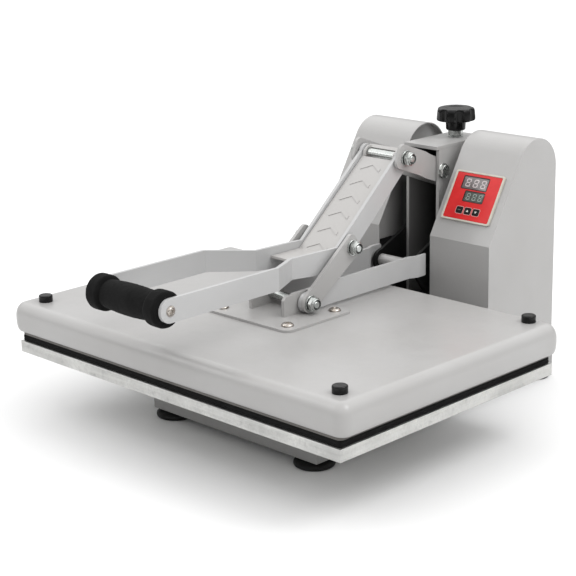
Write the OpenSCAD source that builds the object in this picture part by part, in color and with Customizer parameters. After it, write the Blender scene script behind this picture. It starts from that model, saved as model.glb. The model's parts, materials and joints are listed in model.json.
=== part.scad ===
// Clamshell heat press: a hinged heated platen closed onto a fixed lower platen by a toggle handle.
// Millimetres, +Z up. Origin on the bench, under the centre of the lower platen. The front is -Y.

/* [Platens] */
// Platen width, left to right
platen_w = 600; // [560:10:620]
// Platen length, front to back
platen_l = 400; // [396:1:402]
// Lower platen thickness
platen_t = 16; // [12:0.5:16]
// Silicone pad thickness
pad_t = 8.7; // [7:0.1:8.7]
// Height of the painted cover
cover_h = 40; // [38:0.5:40]
// Radius of the cover's upright corners
cover_corner_r = 17; // [16:0.5:22]
// How far the cover's sides stand out past the lower platen
cover_out = 9.8; // [8:0.1:10]
// Diameter of the corner caps
cap_d = 19; // [16:0.5:19]

/* [Base] */
// Width of the base bars across the machine
base_w = 310; // [300:5:340]
// Height of the base bars
bar_h = 40; // [36:1:40]
// Rubber foot diameter
foot_d = 54; // [46:1:58]

/* [Towers] */
// Width of each tower
tower_w = 104.2; // [100:0.2:110]
// Radius of the rounded tower top
tower_r = 44; // [42:0.5:46]
// Sheet thickness of the towers
sheet = 1.6; // [1.2:0.1:2]

/* [Handle and linkage] */
// Foam grip diameter at its collars
grip_d = 46; // [40:1:48]
// Handle bar height
bar_depth = 30; // [28:0.5:31]
// Number of pressed chevrons
chevrons = 6; // [4:1:6]
// Knob diameter
knob_d = 57; // [50:1:62]
// Number of knob lobes
knob_lobes = 7; // [6:1:8]

/* [Hidden] */
$fn = 72;

origin_y = 74.5;
base_z = 11;
rail_z = base_z + bar_h;
floor_z = rail_z + 8;
lower_z = 88;
pad_z = lower_z + platen_t;
heat_z = 113;
cover_z = 118.5;
cover_top = cover_z + cover_h;
hx = platen_w / 2;
hy = platen_l / 2;

// pivots as [y, z]
piv_a = [212.6, 337.2];
piv_b = [99.7, 234.5];
piv_c = [17.5, 175.4];
piv_d = [243, 175.4];
strap_tilt = 20.2;
screw_y = 371;
strap_len = (screw_y - piv_a[0]) / cos(strap_tilt);
screw_pin_z = piv_a[1] - strap_len * sin(strap_tilt);
bolt_s = 99;
piv_e = [piv_a[0] + bolt_s * cos(strap_tilt), piv_a[1] - bolt_s * sin(strap_tilt)];
grip_y = -243.3;
grip_z = 229.9;

tower_x = 47.7;
tower_front = 256.7;
tower_back = 406.4;
bend_z = 220.9;
arc_y = tower_back - tower_r;
arc_z = 311;
bend_dist = sqrt(pow(arc_y - tower_front, 2) + pow(arc_z - bend_z, 2));
slope = atan2(arc_z - bend_z, arc_y - tower_front) + asin(tower_r / bend_dist);
slope_len = sqrt(pow(bend_dist, 2) - pow(tower_r, 2));
top_steps = 30;
guard_top = 195.5;

paint = [0.78, 0.77, 0.75];
paint_dark = [0.62, 0.61, 0.60];
steel = [0.78, 0.79, 0.80];
black = [0.07, 0.07, 0.075];

// The drawing measures y from the middle of the lower platen. This moves a part so that the
// origin is under the middle of the whole machine.
module placed() {
  translate([0, -origin_y, 0])
    children();
}

// a cylinder along X between two x values
module xrod(x0, x1, p, r) {
  translate([x0, p[0], p[1]])
    rotate([0, 90, 0])
      cylinder(r = r, h = x1 - x0);
}

// a hexagonal prism along X between two x values
module xhex(x0, x1, p, flats) {
  translate([x0, p[0], p[1]])
    rotate([0, 90, 0])
      rotate([0, 0, 90])
        cylinder(d = flats / cos(30), h = x1 - x0, $fn = 6);
}

// a 2D shape drawn as [y, z], raised from x0 to x1
module side_plate(x0, x1) {
  translate([x0, 0, 0])
    rotate([90, 0, 90])
      linear_extrude(height = x1 - x0)
        children();
}

module both_sides() {
  children();
  mirror([1, 0, 0])
    children();
}

module four_corners(x, y) {
  for (sx = [-1, 1])
    for (sy = [-1, 1])
      translate([sx * x, sy * y, 0])
        children();
}

module rounded_rect(w, l, r) {
  union() {
    square([w - 2 * r, l], center = true);
    square([w, l - 2 * r], center = true);
    for (sx = [-1, 1])
      for (sy = [-1, 1])
        translate([sx * (w / 2 - r), sy * (l / 2 - r)])
          circle(r);
  }
}

// washer, locking nut and bolt end stacked outwards along +X
module nut_stack(x0, p) {
  xrod(x0, x0 + 2.2, p, 11);
  xhex(x0 + 2.2, x0 + 9.4, p, 18);
  xrod(x0 + 9.4, x0 + 11.8, p, 8);
}

// washer and hexagonal bolt head stacked outwards along -X
module head_stack(x0, p) {
  xrod(x0 - 2.2, x0, p, 11);
  xhex(x0 - 9.8, x0 - 2.2, p, 18);
}

// ---------- base ----------

support_y = [-69, 130];
foot_x = 132;
foot_front = -69;
foot_rear = 386;

module foot_places() {
  for (sx = [-1, 1])
    for (y = [foot_front, foot_rear])
      translate([sx * foot_x, y, 0])
        children();
}

module rubber_feet() {
  placed()
    color(black)
      foot_places()
        rotate_extrude()
          polygon([[0, 0], [foot_d / 2 - 2, 0], [foot_d / 2, 2], [foot_d / 2, 6], [foot_d / 2 - 3, 8],
            [14, 10.7], [4.2, 10.7], [4.2, 4], [0, 4]]);
}

module foot_studs() {
  placed()
    color(steel)
      foot_places()
        union() {
          translate([0, 0, 4])
            cylinder(r = 4.2, h = rail_z - 3 - 4);
          translate([0, 0, rail_z - 3 - 7])
            cylinder(d = 15 / cos(30), h = 7, $fn = 6);
        }
}

// a downward-open channel with closed ends, centred on its own x and y
module base_channel(w, l) {
  difference() {
    translate([-w / 2, -l / 2, base_z])
      cube([w, l, bar_h]);
    translate([-w / 2 + 3, -l / 2 + 3, base_z - 1])
      cube([w - 6, l - 6, bar_h - 2]);
  }
}

module base_front_bar() {
  placed()
    color(paint_dark)
      translate([0, foot_front, 0])
        base_channel(base_w, 40);
}

module base_rear_bar() {
  placed()
    color(paint_dark)
      translate([0, foot_rear, 0])
        base_channel(base_w, 40);
}

module base_side_rails() {
  rail_l = foot_rear - foot_front - 40;
  placed()
    color(paint_dark)
      both_sides()
        translate([base_w / 2 - 20, (foot_front + foot_rear) / 2, 0])
          base_channel(40, rail_l);
}

module base_plate() {
  placed()
    color(paint_dark)
      difference() {
        translate([-base_w / 2, 215, rail_z])
          cube([base_w, 191, 8]);
        for (sx = [-1, 1])
          for (y = [235, 386])
            translate([sx * 135, y, rail_z - 1])
              cylinder(r = 4.5, h = 12);
      }
}

module platen_supports() {
  placed()
    color(paint_dark)
      for (y = support_y)
        translate([0, y, 0])
          difference() {
            translate([-150, -25, rail_z])
              cube([300, 50, lower_z - rail_z]);
            translate([-151, -22, rail_z - 1])
              cube([302, 44, lower_z - rail_z - 3]);
            for (sx = [-1, 1])
              translate([sx * 60, 0, lower_z - 5])
                cylinder(r = 4.05, h = 6);
          }
}

module support_bolts() {
  placed()
    color(steel)
      for (sx = [-1, 1])
        for (y = support_y)
          translate([sx * 60, y, 0])
            union() {
              translate([0, 0, lower_z - 4 - 5.3])
                cylinder(d = 13 / cos(30), h = 5.3, $fn = 6);
              translate([0, 0, lower_z - 4])
                cylinder(r = 4, h = 11);
            }
}

module lower_platen() {
  placed()
    color([0.80, 0.80, 0.79])
      difference() {
        translate([-hx, -hy, lower_z])
          cube([platen_w, platen_l, platen_t]);
        for (sx = [-1, 1])
          for (y = support_y)
            translate([sx * 60, y, lower_z - 1])
              cylinder(r = 4, h = 8);
      }
}

module silicone_pad() {
  placed()
    color([0.10, 0.095, 0.09])
      translate([0, 0, pad_z])
        linear_extrude(height = pad_t)
          rounded_rect(platen_w - 4, platen_l - 4, 4);
}

// ---------- column and hinge ----------

module column() {
  placed()
    color(paint)
      difference() {
        translate([-30, 297, floor_z])
          cube([60, 103, 334 - floor_z]);
        translate([-25, 296, floor_z - 1])
          cube([50, 99, 334]);
        xrod(-31, 31, piv_e, 5.05);
      }
}

module column_top_plate() {
  placed()
    color(paint)
      difference() {
        translate([-30, 292, 334])
          cube([60, 112, 5]);
        translate([0, screw_y, 333])
          cylinder(r = 6.05, h = 7);
      }
}

module hinge_lugs() {
  placed()
    color(paint)
      both_sides()
        side_plate(30, 35)
          difference() {
            union() {
              translate(piv_d)
                circle(15);
              polygon([[piv_d[0], 160.4], [piv_d[0], 190.4], [300, 215], [350, 215], [350, 90], [297, 90]]);
            }
            translate(piv_d)
              circle(8.55);
          }
}

// ---------- towers ----------

// tower side outline, inset by t; the round top is drawn as short chords
module tower_outline(t) {
  polygon(concat(
    [
      [tower_back - t, floor_z],
      [tower_front + t, floor_z],
      [tower_front + t, bend_z - t * tan((90 - slope) / 2)]],
    [for (i = [0 : top_steps])
      let (a = (90 + slope) * (1 - i / top_steps))
        [arc_y + (tower_r - t) * cos(a), arc_z + (tower_r - t) * sin(a)]]));
}

// a point frame on the sloping front of the right tower: x across, y up the slope, z outwards
module on_slope() {
  translate([0, tower_front, bend_z])
    rotate([slope, 0, 0])
      children();
}

module tower_shell() {
  difference() {
    side_plate(tower_x, tower_x + tower_w)
      tower_outline(0);
    side_plate(tower_x - 1, tower_x + tower_w - sheet)
      difference() {
        tower_outline(sheet);
        translate([200, floor_z - 1])
          square([300, 1]);
      }
  }
}

vent_x = [70, 84, 98, 112, 126];

module left_tower() {
  placed()
    color(paint)
      difference() {
        mirror([1, 0, 0])
          tower_shell();
        for (x = vent_x)
          translate([-x - 2, tower_back - 5, 190])
            cube([4, 10, 60]);
      }
}

panel_x = 98;
panel_s = 64.5;

module right_tower() {
  placed()
    color(paint)
      difference() {
        tower_shell();
        for (x = vent_x)
          translate([x - 2, tower_back - 5, 190])
            cube([4, 10, 60]);
        on_slope()
          translate([panel_x - 36, panel_s - 31, -6])
            cube([72, 62, 12]);
        translate([66, tower_back - 5, 86])
          cube([28, 10, 21]);
        translate([105, tower_back - 5, 86])
          cube([22, 10, 28]);
        translate([80, tower_back - 5, 132])
          rotate([-90, 0, 0])
            cylinder(r = 6.2, h = 10);
      }
}

module inner_panel() {
  side_plate(tower_x + 10, tower_x + 11.5)
    difference() {
      tower_outline(sheet);
      translate([200, 0])
        square([300, guard_top]);
    }
}

module left_inner_panel() {
  placed()
    color(paint)
      mirror([1, 0, 0])
        inner_panel();
}

module right_inner_panel() {
  placed()
    color(paint)
      inner_panel();
}

module inner_guards() {
  placed()
    color(black)
      both_sides()
        side_plate(tower_x + 10, tower_x + 11.5)
          translate([tower_front + sheet, floor_z])
            square([tower_back - tower_front - 2 * sheet, guard_top - floor_z]);
}

module tower_screws() {
  placed()
    color(steel)
      both_sides()
        for (p = [[54, 70], [146, 70], [54, 300], [146, 300]])
          translate([p[0], tower_back, p[1]])
            rotate([-90, 0, 0])
              rotate_extrude()
                intersection() {
                  translate([0, -3])
                    circle(5);
                  square([5, 5]);
                }
}

// ---------- control panel ----------

module panel_bezel() {
  placed()
    color([0.86, 0.86, 0.84])
      on_slope()
        difference() {
          translate([panel_x, panel_s, 0])
            linear_extrude(height = 3)
              rounded_rect(84, 73, 3);
          translate([panel_x, panel_s, 1.6])
            linear_extrude(height = 3)
              rounded_rect(78, 68, 2);
          translate([panel_x - 34, panel_s - 29, -1])
            cube([68, 58, 5]);
        }
}

module window(x0, x1, s0, s1, z0, z1) {
  translate([x0, s0, z0])
    cube([x1 - x0, s1 - s0, z1 - z0]);
}

button_x = [83.6, 97.8, 112];
button_s = 43.7;

module panel_overlay() {
  placed()
    color([0.80, 0.16, 0.14])
      on_slope()
        difference() {
          translate([panel_x, panel_s, 1.6])
            linear_extrude(height = 0.8)
              rounded_rect(77.4, 67.4, 2);
          window(73, 116, 75.5, 93.5, 1, 4);
          window(83, 116.5, 57.5, 72, 1, 4);
          for (x = button_x)
            window(x - 4.8, x + 4.8, button_s - 3.8, button_s + 3.8, 1, 4);
        }
}

module display_upper() {
  placed()
    color([0.66, 0.66, 0.64])
      on_slope()
        window(73.2, 115.8, 75.7, 93.3, -4, 2.1);
}

module display_lower() {
  placed()
    color([0.52, 0.56, 0.52])
      on_slope()
        window(83.2, 116.3, 57.7, 71.8, -4, 2.1);
}

module button(x) {
  placed()
    color(black)
      on_slope()
        union() {
          window(x - 4.5, x + 4.5, button_s - 3.5, button_s + 3.5, -1.5, 3.1);
          window(x - 1.6, x + 1.6, button_s - 1.6, button_s + 1.6, -4, -1.5);
        }
}

module button_1() {
  button(button_x[0]);
}

module button_2() {
  button(button_x[1]);
}

module button_3() {
  button(button_x[2]);
}

module controller_module() {
  placed()
    color([0.12, 0.12, 0.13])
      on_slope()
        window(panel_x - 33, panel_x + 33, panel_s - 28, panel_s + 28, -34, -6);
}

module solid_state_relay() {
  placed()
    color([0.16, 0.16, 0.17])
      union() {
        translate([118, 300, floor_z])
          cube([8, 60, 90]);
        translate([96, 308, floor_z + 16])
          cube([22, 44, 58]);
      }
}

module power_inlet() {
  placed()
    color(black)
      difference() {
        union() {
          translate([66.3, tower_back - 24, 86.3])
            cube([27.4, 24, 20.4]);
          translate([61, tower_back, 83])
            cube([38, 3, 27]);
        }
        translate([69, tower_back - 14, 89])
          cube([22, 20, 15]);
      }
}

module fuse_holder() {
  placed()
    color(black)
      translate([80, tower_back, 132])
        rotate([-90, 0, 0])
          union() {
            translate([0, 0, -22])
              cylinder(r = 6, h = 22);
            cylinder(r = 8.5, h = 2.5);
            cylinder(r = 6.5, h = 9);
          }
}

module switch_bezel() {
  placed()
    color(black)
      difference() {
        union() {
          translate([105.3, tower_back - 18, 86.3])
            cube([21.4, 18, 27.4]);
          translate([102.5, tower_back, 83.5])
            cube([27, 2, 33]);
        }
        translate([107, tower_back - 16, 88])
          cube([18, 24, 24]);
      }
}

// rocker button of the mains switch, pivoted along X inside its bezel
module power_switch() {
  placed()
    color([0.55, 0.10, 0.09])
      side_plate(107.3, 124.7)
        translate([tower_back - 2, 100])
          rotate(-8)
            polygon([[-8, -9], [7, -10.6], [5, 0], [7, 10.6], [-8, 9]]);
}

// ---------- pressure rocker ----------

// plan of one strap: s along the strap from the top pivot, x sideways
module strap_plan() {
  polygon([[-40, 37.3], [34, 37.3], [72, 19.6], [240, 19.6], [240, 24.6], [74.4, 24.6], [36.4, 42.3], [-40, 42.3]]);
}

module strap_side() {
  difference() {
    union() {
      translate([-9, -17])
        square([strap_len + 9, 34]);
      translate([-17, -9])
        square([20, 18]);
      for (t = [-9, 9])
        translate([-9, t])
          circle(8);
      translate([strap_len, 0])
        circle(17);
    }
    circle(6);
    translate([bolt_s, 0])
      circle(5.05);
    translate([strap_len, 0])
      circle(6);
  }
}

module strap() {
  translate([0, piv_a[0], piv_a[1]])
    rotate([-strap_tilt, 0, 0])
      intersection() {
        translate([0, 0, -30])
          linear_extrude(height = 60)
            rotate([0, 0, 90])
              mirror([0, 1, 0])
                strap_plan();
        side_plate(0, 60)
          strap_side();
      }
}

module strap_right() {
  placed()
    color(paint)
      strap();
}

module strap_left() {
  placed()
    color(paint)
      mirror([1, 0, 0])
        strap();
}

module trunnion() {
  p = [screw_y, screw_pin_z];
  placed()
    color(steel)
      difference() {
        union() {
          xrod(-19.6, 19.6, p, 10);
          xrod(-24.6, 24.6, p, 6);
        }
        translate([0, screw_y, 200])
          cylinder(r = 6.7, h = 200);
      }
}

module top_pivot_rod() {
  placed()
    color(steel)
      union() {
        xrod(-42.3, 42.3, piv_a, 6);
        nut_stack(42.3, piv_a);
        head_stack(-42.3, piv_a);
      }
}

module rocker_bolt() {
  placed()
    color(steel)
      union() {
        xrod(-30, 30, piv_e, 5);
        xhex(30, 36.5, piv_e, 17);
        xhex(-36.5, -30, piv_e, 17);
      }
}

module pressure_screw() {
  placed()
    color(steel)
      translate([0, screw_y, 252])
        union() {
          translate([0, 0, 2])
            cylinder(r = 6, h = 112);
          cylinder(r1 = 4.2, r2 = 6, h = 2);
        }
}

module screw_collar() {
  placed()
    color(steel)
      translate([0, screw_y, 339.3])
        difference() {
          union() {
            cylinder(r = 11, h = 1.8);
            translate([0, 0, 1.8])
              cylinder(d = 19 / cos(30), h = 8.2, $fn = 6);
          }
          translate([0, 0, -1])
            cylinder(r = 6, h = 12);
        }
}

module pressure_knob() {
  lobe_r = 8;
  placed()
    color(black)
      translate([0, screw_y, 349.3])
        difference() {
          union() {
            cylinder(r = 14.4, h = 13);
            translate([0, 0, 12])
              rotate_extrude()
                union() {
                  square([knob_d / 2 - 5, 20]);
                  translate([0, 4])
                    square([knob_d / 2 - 0.8, 13]);
                  translate([knob_d / 2 - 4.8, 4])
                    circle(4);
                  translate([knob_d / 2 - 4.8, 16.6])
                    circle(4);
                }
          }
          for (i = [0 : knob_lobes - 1])
            rotate([0, 0, (i + 0.5) * 360 / knob_lobes])
              translate([knob_d / 2 + 3.2, 0, 11])
                cylinder(r = lobe_r, h = 24);
          translate([0, 0, 30.6])
            cylinder(r = 12.5, h = 4);
          translate([0, 0, -1])
            cylinder(r = 6, h = 18);
        }
}

// ---------- handle weldment ----------

// plan of the right handle side as [y, x]
module handle_plan() {
  polygon([[-290, 65], [-65, 65], [-6.5, 30], [260, 30], [260, 35], [-5, 35], [-63.5, 70], [-290, 70]]);
}

module handle_side() {
  top = grip_z + bar_depth / 2;
  low = grip_z - bar_depth / 2;
  difference() {
    union() {
      translate([grip_y, grip_z])
        circle(bar_depth / 2);
      polygon([[grip_y, low], [-61, low], [-2, 210], [43, 205.7], [86, 207], [109.9, 223], [223.9, 324.5],
        [227, 334], [204.6, 343.1], [80.8, 236], [53, 237], [-5, 238.5], [-68, top],
        [grip_y, top]]);
      translate(piv_a)
        circle(11.6);
    }
    translate(piv_a)
      circle(6.05);
    translate(piv_b)
      circle(6);
    translate([grip_y, grip_z])
      circle(3);
  }
}

module handle_bar() {
  intersection() {
    translate([0, 0, 190])
      linear_extrude(height = 180)
        rotate([0, 0, 90])
          mirror([0, 1, 0])
            handle_plan();
    side_plate(20, 80)
      handle_side();
  }
}

module handle_bar_right() {
  placed()
    color(paint)
      handle_bar();
}

module handle_bar_left() {
  placed()
    color(paint)
      mirror([1, 0, 0])
        handle_bar();
}

web_dir = 39.85;
web_len = 186;
web_low = [76.2, 228.7];
web_top = 226.5;
web_end = web_low + web_len * [cos(web_dir), sin(web_dir)];
web_under = 3 * [sin(web_dir), -cos(web_dir)];

// the point of the sloping surface, or of its underside, at height z
function on_web(start, z) = [start[0] + (z - start[1]) / tan(web_dir), z];

// the height of pivot A along and across the sloping surface
web_rod = [
  (piv_a[0] - web_low[0]) * cos(web_dir) + (piv_a[1] - web_low[1]) * sin(web_dir),
  (piv_a[1] - web_low[1]) * cos(web_dir) - (piv_a[0] - web_low[0]) * sin(web_dir)];

module chevron_plate() {
  placed()
    color([0.80, 0.78, 0.76])
      union() {
        difference() {
          side_plate(-28.9, 30)
            polygon([
              [20, web_top],
              on_web(web_low, web_top),
              web_end,
              web_end + web_under,
              on_web(web_low + web_under, web_top - 3),
              [20, web_top - 3]]);
          translate([0, web_low[0], web_low[1]])
            rotate([web_dir, 0, 0])
              translate([-25.4, 163.3, -5])
                cube([50.8, 17.1, 8]);
          xrod(-30.5, 30.5, piv_a, 6.4);
        }
        // narrow humps that carry the sheet over the pivot rod at both ends of the opening
        for (x = [-28.9, 25.4])
          translate([0, web_low[0], web_low[1]])
            rotate([web_dir, 0, 0])
              difference() {
                translate([x + (x < 0 ? 3.5 : 4.6), 0, 0])
                  rotate([0, -90, 0])
                    linear_extrude(height = x < 0 ? 3.5 : 4.6)
                      polygon([
                        [-3, 163.3],
                        [0, 163.3],
                        [4.6, web_rod[0] - 4.4],
                        [4.6, web_rod[0] + 4.4],
                        [0, 184.4],
                        [-3, 184.4]]);
                translate([-31, web_rod[0], web_rod[1]])
                  rotate([0, 90, 0])
                    cylinder(r = 6.4, h = 62);
              }
        translate([0, web_low[0], web_low[1]])
          rotate([web_dir, 0, 0])
            for (i = [0 : chevrons - 1])
              translate([0, 15.5 + i * 28.1, -1])
                linear_extrude(height = 1.8)
                  polygon([[-17, -10], [-17, -15.6], [0, -5.6], [17, -15.6], [17, -10], [0, 0]]);
      }
}

module handle_tube() {
  placed()
    color(steel)
      difference() {
        xrod(-65, 65, [grip_y, grip_z], 12);
        xrod(-66, 66, [grip_y, grip_z], 3);
      }
}

module foam_grip() {
  placed()
    color(black)
      translate([0, grip_y, grip_z])
        rotate([0, 90, 0])
          difference() {
            union() {
              cylinder(r = 17.6, h = 128, center = true);
              intersection() {
                rotate_extrude()
                  intersection() {
                    translate([-280, 0])
                      circle(300, $fn = 360);
                    translate([0, -50])
                      square([20, 100]);
                  }
                cylinder(r = 30, h = 90, center = true);
              }
              for (m = [0, 1])
                mirror([0, 0, m])
                  translate([0, 0, 43.5])
                    rotate_extrude()
                      union() {
                        square([grip_d / 2 - 4, 21]);
                        translate([0, 4])
                          square([grip_d / 2, 13]);
                        translate([grip_d / 2 - 4, 4])
                          circle(4);
                        translate([grip_d / 2 - 4, 17])
                          circle(4);
                      }
            }
            cylinder(r = 12, h = 140, center = true);
          }
}

module grip_screws() {
  placed()
    color(steel)
      both_sides()
        union() {
          xrod(50, 70, [grip_y, grip_z], 3);
          translate([70, grip_y, grip_z])
            rotate([0, 90, 0])
              difference() {
                rotate_extrude()
                  intersection() {
                    translate([0, -3])
                      circle(5.6);
                    square([6, 6]);
                  }
                translate([-0.5, -2.6, 1.2])
                  cube([1, 5.2, 3]);
                translate([-2.6, -0.5, 1.2])
                  cube([5.2, 1, 3]);
              }
        }
}

module knee_studs() {
  placed()
    color(steel)
      union() {
        xrod(30, 40.2, piv_b, 6);
        xrod(35, 40.2, piv_b, 10);
        xrod(-40.2, -30, piv_b, 6);
        xrod(-40.2, -35, piv_b, 10);
      }
}

// ---------- toggle link ----------

link_dir = atan2(piv_b[1] - piv_c[1], piv_b[0] - piv_c[0]);
link_len = sqrt(pow(piv_b[0] - piv_c[0], 2) + pow(piv_b[1] - piv_c[1], 2));

module link_side() {
  translate(piv_c)
    rotate(link_dir)
      difference() {
        union() {
          circle(13.3);
          translate([link_len + 4.5, 9])
            circle(8);
          translate([link_len + 0.5, -2.5])
            circle(12);
          polygon([
            [1.4, -13.2],
            [link_len + 0.6, -14.5],
            [link_len + 12.5, -2.5],
            [link_len + 12.5, 9],
            [link_len + 4.1, 17],
            [-0.6, 13.3]]);
        }
        circle(6.05);
        translate([link_len, 0])
          circle(6);
      }
}

module toggle_link_right() {
  placed()
    color(paint)
      side_plate(40.6, 45.6)
        link_side();
}

module toggle_link_left() {
  placed()
    color(paint)
      side_plate(-45.6, -40.6)
        link_side();
}

module knee_nuts() {
  placed()
    color(steel)
      union() {
        xrod(40.6, 45.6, piv_b, 6);
        nut_stack(45.6, piv_b);
        xrod(-45.6, -40.6, piv_b, 6);
        head_stack(-45.6, piv_b);
      }
}

// ---------- upper platen ----------

// plan of the right swing arm as [y, x]
module arm_plan() {
  polygon([[-20, 35.3], [222, 35.3], [234, 40.6], [253.6, 40.6], [253.6, 42.2], [252.6, 43.7], [250.8, 44.9],
    [248, 45.6], [233, 45.6], [221, 40.3], [-20, 40.3]]);
}

module arm_side() {
  difference() {
    union() {
      translate(piv_c)
        circle(13.4);
      polygon([[piv_c[0], 162], [60, 164], [252, 164], [254, 166], [254, 193], [252, 195], [60, 195],
        [piv_c[0] - 4, 188]]);
    }
    translate(piv_c)
      circle(6);
  }
}

module swing_arm() {
  intersection() {
    translate([0, 0, 150])
      linear_extrude(height = 60)
        rotate([0, 0, 90])
          mirror([0, 1, 0])
            arm_plan();
    side_plate(30, 50)
      arm_side();
  }
}

module swing_arm_right() {
  placed()
    color(paint)
      swing_arm();
}

module swing_arm_left() {
  placed()
    color(paint)
      mirror([1, 0, 0])
        swing_arm();
}

module arm_cross_tube() {
  placed()
    color(paint)
      difference() {
        xrod(-40.6, 40.6, piv_d, 8.5);
        xrod(-41, 41, piv_d, 5);
      }
}

module platen_bracket() {
  placed()
    color(paint)
      union() {
        difference() {
          translate([0, 3, cover_top])
            linear_extrude(height = 3.3)
              rounded_rect(156, 124, 12);
          translate([0, 3, 0])
            four_corners(60.6, 44)
              translate([0, 0, cover_top - 1])
                cylinder(r = 4, h = 6);
        }
        both_sides()
          side_plate(28, 33)
            difference() {
              union() {
                polygon([[-19, cover_top + 3.3], [-19, 184], [-15, 188], [12, 190], [26, 190], [42, 178],
                  [42, cover_top + 3.3]]);
              }
              translate(piv_c)
                circle(6);
            }
      }
}

module bracket_screws() {
  placed()
    color(steel)
      translate([0, 3, 0])
        four_corners(60.6, 44)
          translate([0, 0, cover_top + 3.3])
            union() {
              difference() {
                rotate_extrude()
                  union() {
                    intersection() {
                      translate([0, -6.4])
                        circle(10.6);
                      square([8.4, 6]);
                    }
                  }
                translate([0, 0, 2.2])
                  cylinder(d = 5 / cos(30), h = 4, $fn = 6);
              }
              translate([0, 0, -3.3])
                cylinder(r = 4, h = 3.3);
            }
}

module platen_pin() {
  placed()
    color(steel)
      union() {
        xrod(-45.9, 45.9, piv_c, 6);
        xrod(33, 35.3, piv_c, 10);
        xrod(-35.3, -33, piv_c, 10);
        nut_stack(45.9, piv_c);
        head_stack(-45.9, piv_c);
      }
}

// half profile of a bulged side, from the vertical axis of its corner out to radius r: it tucks in under
// by low_in over low_h, and rolls over the top by top_in over top_h
module bulged_rim(h, r, low_in, low_h, top_in, top_h) {
  polygon(concat(
    [[0, 0]],
    [for (t = [0 : 9 : 90])
      [r - low_in * (1 - sin(t)), low_h * (1 - cos(t))]],
    [for (t = [0 : 6 : 90])
      [r - top_in * (1 - cos(t)), h - top_h + top_h * sin(t)]],
    [[0, h]]));
}

// half profile of a plain side with a rounded top edge e
module plain_rim(h, r, e) {
  union() {
    square([r - e, h]);
    square([r, h - e]);
    translate([r - e, h - e])
      circle(e);
  }
}

// a lid w by l standing at z = 0, whose side profile is the child
module lid(w, l, h, r) {
  union() {
    translate([-w / 2 + r, -l / 2 + r, 0])
      cube([w - 2 * r, l - 2 * r, h]);
    four_corners(w / 2 - r, l / 2 - r)
      rotate_extrude()
        children();
    for (a = [0, 180])
      rotate([0, 0, a])
        translate([w / 2 - r, l / 2 - r, 0])
          rotate([90, 0, 0])
            linear_extrude(height = l - 2 * r)
              children();
    for (a = [90, 270])
      rotate([0, 0, a])
        translate([l / 2 - r, w / 2 - r, 0])
          rotate([90, 0, 0])
            linear_extrude(height = w - 2 * r)
              children();
  }
}

cover_w = platen_w + 2 * cover_out;
cover_l = platen_l + 2 * cover_out - 6.8;

module platen_cover() {
  placed()
    color(paint)
      difference() {
        translate([0, 0, cover_z])
          lid(cover_w, cover_l, cover_h, cover_corner_r)
            bulged_rim(cover_h, cover_corner_r, 4.8, 16, 14.5, 19);
        translate([0, 0, cover_z - 1])
          lid(cover_w - 12.8, cover_l - 12.8, cover_h - 1, cover_corner_r - 6.4)
            plain_rim(cover_h - 1, cover_corner_r - 6.4, 4.7);
      }
}

module heat_plate() {
  placed()
    color([0.16, 0.14, 0.12])
      translate([0, 0, heat_z])
        linear_extrude(height = 12)
          rounded_rect(platen_w - 2.6, platen_l - 3.6, 7);
}

module insulation() {
  placed()
    color([0.85, 0.82, 0.72])
      translate([0, 0, heat_z + 12])
        linear_extrude(height = 25)
          rounded_rect(platen_w - 20, platen_l - 24, 15);
}

module corner_caps() {
  placed()
    color(black)
      translate([0, 5, cover_top])
        for (c = [[-1, -1], [1, -1], [1, 1]])
          translate([c[0] * 274.6, c[1] * 177.3, 0])
            rotate_extrude()
              union() {
                square([cap_d / 2 - 2, 9.5]);
                square([cap_d / 2, 7.5]);
                translate([cap_d / 2 - 2, 7.5])
                  circle(2);
              }
}

rubber_feet();
foot_studs();
base_front_bar();
base_side_rails();
base_rear_bar();
base_plate();
platen_supports();
support_bolts();
lower_platen();
silicone_pad();
column();
column_top_plate();
hinge_lugs();
left_tower();
right_tower();
left_inner_panel();
right_inner_panel();
inner_guards();
tower_screws();
panel_bezel();
panel_overlay();
display_upper();
display_lower();
button_1();
button_2();
button_3();
controller_module();
solid_state_relay();
power_inlet();
fuse_holder();
switch_bezel();
power_switch();
rocker_bolt();
strap_left();
strap_right();
trunnion();
top_pivot_rod();
pressure_screw();
screw_collar();
pressure_knob();
handle_bar_left();
handle_bar_right();
chevron_plate();
handle_tube();
foam_grip();
grip_screws();
knee_studs();
toggle_link_left();
toggle_link_right();
knee_nuts();
swing_arm_left();
swing_arm_right();
arm_cross_tube();
platen_bracket();
bracket_screws();
platen_pin();
platen_cover();
heat_plate();
insulation();
corner_caps();
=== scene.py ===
import json
import math

import bmesh
import bpy
from mathutils import Matrix, Vector


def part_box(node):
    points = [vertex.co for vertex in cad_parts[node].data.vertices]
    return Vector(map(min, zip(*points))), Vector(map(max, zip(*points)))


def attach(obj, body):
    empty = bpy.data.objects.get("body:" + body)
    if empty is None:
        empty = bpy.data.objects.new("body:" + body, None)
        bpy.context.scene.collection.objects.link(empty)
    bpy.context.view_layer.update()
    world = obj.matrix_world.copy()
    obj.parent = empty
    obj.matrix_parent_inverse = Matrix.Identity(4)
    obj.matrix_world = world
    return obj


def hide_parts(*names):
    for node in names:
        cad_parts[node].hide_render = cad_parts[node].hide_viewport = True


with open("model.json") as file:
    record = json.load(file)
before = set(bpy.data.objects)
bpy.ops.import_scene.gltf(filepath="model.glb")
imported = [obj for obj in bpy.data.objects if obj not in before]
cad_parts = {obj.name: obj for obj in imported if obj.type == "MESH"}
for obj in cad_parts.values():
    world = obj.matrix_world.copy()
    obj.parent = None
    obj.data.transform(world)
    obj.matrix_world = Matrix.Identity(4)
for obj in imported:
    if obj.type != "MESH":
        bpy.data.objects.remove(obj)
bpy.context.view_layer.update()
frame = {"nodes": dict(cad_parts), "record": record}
NODES = frame["nodes"]
scene = bpy.context.scene


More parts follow.
